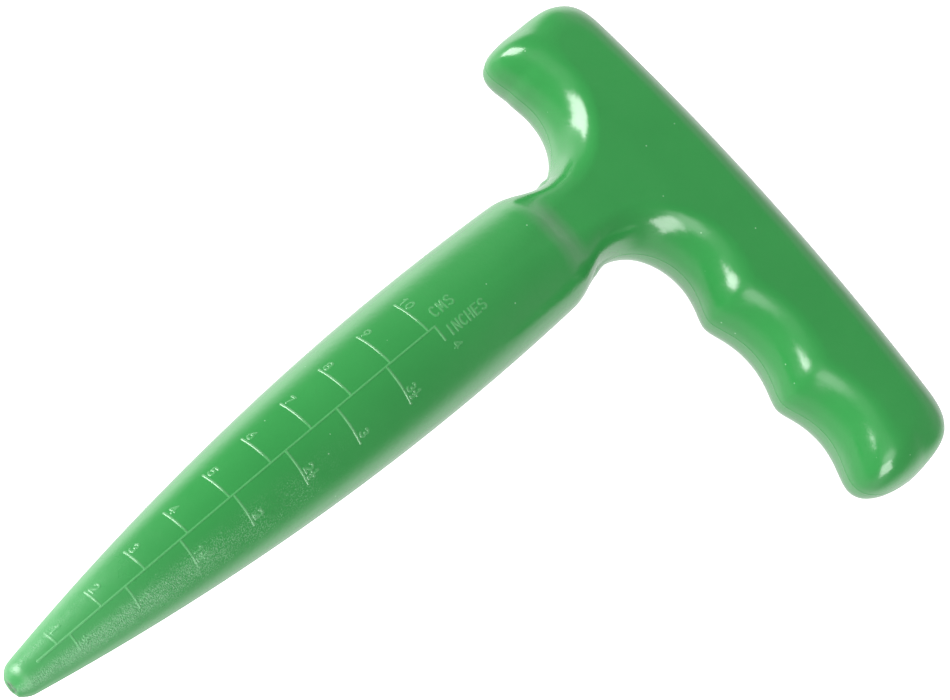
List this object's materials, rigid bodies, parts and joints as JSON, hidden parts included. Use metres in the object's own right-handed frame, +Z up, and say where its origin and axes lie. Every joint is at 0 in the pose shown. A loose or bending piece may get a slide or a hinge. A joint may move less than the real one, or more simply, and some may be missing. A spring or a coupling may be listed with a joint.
{
  "type": "garden dibber",
  "caption": "Hand dibber: a hollow tapering round spike with a raised depth scale and a rounded tip, on an offset T-handle with finger grooves.",
  "frame": {"origin": "the point of the tip, on the spike's axis", "axes": "+Z up the spike from the tip to the handle, +X along the long arm of the handle, and the front, with the depth scale, faces -Y"},
  "size_m": [0.1153, 0.0265, 0.1784],
  "materials": {
    "moulded_green": "satin gloss, moulded polyethylene"
  },
  "bodies": {
    "root": {"front_shell": "moulded_green", "rear_shell": "moulded_green"}
  },
  "joints": []
}
